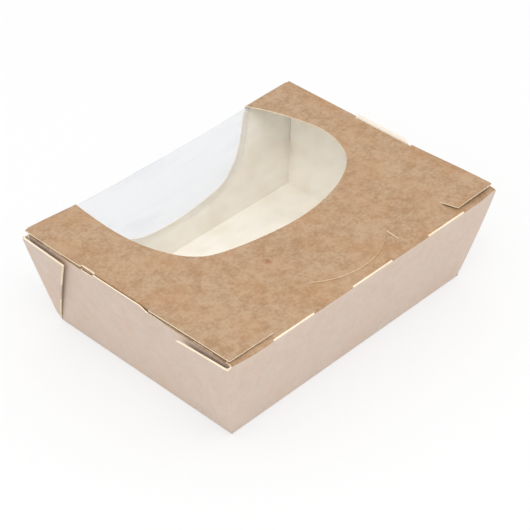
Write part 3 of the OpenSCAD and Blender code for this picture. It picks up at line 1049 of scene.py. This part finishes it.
class WINDOWBOX_OT_tray(bpy.types.Operator):
    """Folds the tray: base, walls, corner webs, end flaps and front flap, as one sheet."""

    bl_idname = "window_box.tray"
    bl_label = "Fold Tray"

    def execute(self, context):
        parts = [add_walls(), add_front_flap()]
        for s in (-1, 1):
            parts += [add_end_flap(s), add_standing_tab(s)]
        tray = join(parts, "folded_tray")
        outer = len(tray.data.vertices)
        thicken(tray, context.scene.window_box_board.thickness)
        settle_feet(tray, outer)
        cut(tray, wall_window_cutter())
        smooth_shade(tray)
        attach(tray, "carton")
        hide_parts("tray")
        return {"FINISHED"}


class WINDOWBOX_OT_lid(bpy.types.Operator):
    """Makes the lid with its tuck tabs, window and front lock, down to the rear wall."""

    bl_idname = "window_box.lid"
    bl_label = "Fold Lid"

    def execute(self, context):
        def keep_top(column, row):
            outside = max(abs(LID_STEPS[column]), abs(LID_STEPS[column + 1])) > TUCK_X
            end = TUCK_REAR + (TUCK_BARB if LID_STEPS[column] < 0 else 0)
            return not (outside and TUCK_FRONT <= LID_ROWS[row] < end)

        hinge_steps = [x for x in LID_STEPS if abs(x) <= STRIP_HALF]
        rows = LID_ROWS + [HINGE_BACK]
        parts = [add_patch("lid_face", LID_STEPS, rows, place_on_lid, keep_top),
                 add_patch("hinge_fold", hinge_steps, [0, 0.25, 0.5, 0.75, 1, 2], place_on_hinge)]
        parts += [add_tuck_tab(s) for s in (-1, 1)]
        lid = join(parts, "folded_lid")
        thicken(lid, context.scene.window_box_board.thickness)
        for cutter in add_lid_cutters():
            cut(lid, cutter)
        smooth_shade(lid)
        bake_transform(lid)
        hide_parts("lid")
        return {"FINISHED"}


class WINDOWBOX_OT_film(bpy.types.Operator):
    """Lays the clear film behind the window, from the lid round the fold to the rear wall."""

    bl_idname = "window_box.film"
    bl_label = "Lay Film"

    def execute(self, context):
        near = [0.6, 1.2, 2, 3, 4, 5, 6.5, 8, 10, 13, 17, 22]
        on_lid = [-28, -36, -44, -52, -60, -68, -76, -84, -91]
        runs = on_lid[::-1] + [-run for run in near[::-1]] + [0] + near + [27, 32, 36, 39, 41]
        columns = [mix(FILM_LEFT, FILM_RIGHT, i / FILM_COLUMNS) for i in range(FILM_COLUMNS + 1)]
        film = add_patch("clear_window", columns, runs, film_place, veil=film_veil)
        film.data.materials.clear()
        film.data.materials.append(bpy.data.materials["window_film"])
        thicken(film, context.scene.window_box_film.thickness, lined=False)
        smooth_shade(film, angle=60)
        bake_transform(film)
        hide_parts("lid_film", "rear_film")
        return {"FINISHED"}


def add_floor():
    """White floor: shows as white, keeps a soft shadow, and lights the walls as white paper does."""
    deselect()
    bpy.ops.mesh.primitive_plane_add(size=FLOOR_SIZE, location=(0, 0, FLOOR_Z))
    floor = bpy.context.object
    floor.name = "white_floor"
    bpy.ops.object.transform_apply(location=True, rotation=True, scale=True)
    graph = new_material("white_floor")
    graph.nodes.remove(graph.nodes["Principled BSDF"])
    shown = graph.add("ShaderNodeBsdfDiffuse", color=grey(FLOOR_SHOWN))
    glow = graph.add("ShaderNodeEmission", color=grey(1), strength=FLOOR_GLOW)
    both = graph.add("ShaderNodeAddShader")
    bounce = graph.add("ShaderNodeBsdfDiffuse", color=grey(FLOOR_BOUNCE))
    choice = graph.add("ShaderNodeMixShader")
    graph.feed(both.inputs[0], shown.outputs[0])
    graph.feed(both.inputs[1], glow.outputs[0])
    graph.feed(choice.inputs[0], seen_rays(graph))
    graph.feed(choice.inputs[1], bounce.outputs[0])
    graph.feed(choice.inputs[2], both.outputs[0])
    graph.feed(graph.nodes["Material Output"].inputs["Surface"], choice.outputs[0])
    floor.data.materials.append(bpy.data.materials["white_floor"])


def grey(value):
    return value, value, value, 1


def seen_rays(graph):
    """One for what the camera sees straight, by reflection or through the film, and zero for light."""
    path = graph.add("ShaderNodeLightPath")
    direct = graph.calculate("MAXIMUM", path.outputs["Is Camera Ray"], path.outputs["Is Glossy Ray"])
    return graph.calculate("MAXIMUM", direct, path.outputs["Is Transmission Ray"])


def add_light(settings):
    """Even white light all round, and one soft lamp above the front left."""
    world = bpy.data.worlds.new("studio")
    bpy.context.scene.world = world
    world.use_nodes = True
    graph = Graph(world.node_tree)
    sky = graph.nodes["Background"]
    sky.inputs["Color"].default_value = grey(1)
    strength = graph.blend_values(seen_rays(graph), settings.sky, 1.0)
    graph.feed(sky.inputs["Strength"], strength)
    lamp = bpy.data.lights.new("soft_lamp", "AREA")
    lamp.energy = settings.lamp
    lamp.size = LAMP_SIZE
    holder = bpy.data.objects.new("soft_lamp", lamp)
    bpy.context.collection.objects.link(holder)
    holder.location = LAMP_PLACE
    direction = Vector(LAMP_AIM) - holder.location
    holder.rotation_euler = direction.to_track_quat("-Z", "Y").to_euler()


def add_camera():
    """The camera stands where the photo was taken from."""
    camera = bpy.data.cameras.new("camera")
    camera.sensor_width = CAMERA_SENSOR
    camera.lens = CAMERA_LENS
    camera.clip_start = 0.05
    holder = bpy.data.objects.new("camera", camera)
    bpy.context.collection.objects.link(holder)
    holder.location = CAMERA_PLACE
    holder.rotation_euler = [math.radians(angle) for angle in CAMERA_TURN]
    bpy.context.scene.camera = holder


class WINDOWBOX_OT_stage(bpy.types.Operator):
    """Sets the white floor, the soft light and the camera."""

    bl_idname = "window_box.stage"
    bl_label = "Set Stage"

    def execute(self, context):
        add_floor()
        add_light(context.scene.window_box_stage)
        add_camera()
        context.scene.view_settings.view_transform = "Standard"
        return {"FINISHED"}


class WINDOWBOX_PT_panel(bpy.types.Panel):
    """Sizes, colours and steps of the window box."""

    bl_idname = "WINDOWBOX_PT_panel"
    bl_label = "Window Box"
    bl_space_type = "VIEW_3D"
    bl_region_type = "UI"
    bl_category = "Window Box"

    def draw(self, context):
        scene = context.scene
        for settings in (scene.window_box_board, scene.window_box_lid, scene.window_box_film,
                         scene.window_box_stage):
            box = self.layout.box()
            for name in settings.__annotations__:
                box.prop(settings, name)
        for step in STEPS:
            self.layout.operator(step.bl_idname)


STEPS = (WINDOWBOX_OT_finishes, WINDOWBOX_OT_tray, WINDOWBOX_OT_lid, WINDOWBOX_OT_film, WINDOWBOX_OT_stage)
SETTINGS = {"window_box_board": BoardSettings, "window_box_lid": LidSettings,
            "window_box_film": FilmSettings, "window_box_stage": StageSettings}


def register():
    for settings in SETTINGS.values():
        bpy.utils.register_class(settings)
    for name, settings in SETTINGS.items():
        setattr(bpy.types.Scene, name, PointerProperty(type=settings))
    for step in STEPS:
        bpy.utils.register_class(step)
    bpy.utils.register_class(WINDOWBOX_PT_panel)


def unregister():
    bpy.utils.unregister_class(WINDOWBOX_PT_panel)
    for step in reversed(STEPS):
        bpy.utils.unregister_class(step)
    for name, settings in SETTINGS.items():
        delattr(bpy.types.Scene, name)
        bpy.utils.unregister_class(settings)


def main():
    """Builds the box and its stage."""
    register()
    bpy.ops.window_box.finishes()
    bpy.ops.window_box.tray()
    bpy.ops.window_box.lid()
    bpy.ops.window_box.film()
    bpy.ops.window_box.stage()


if __name__ == "__main__":
    main()
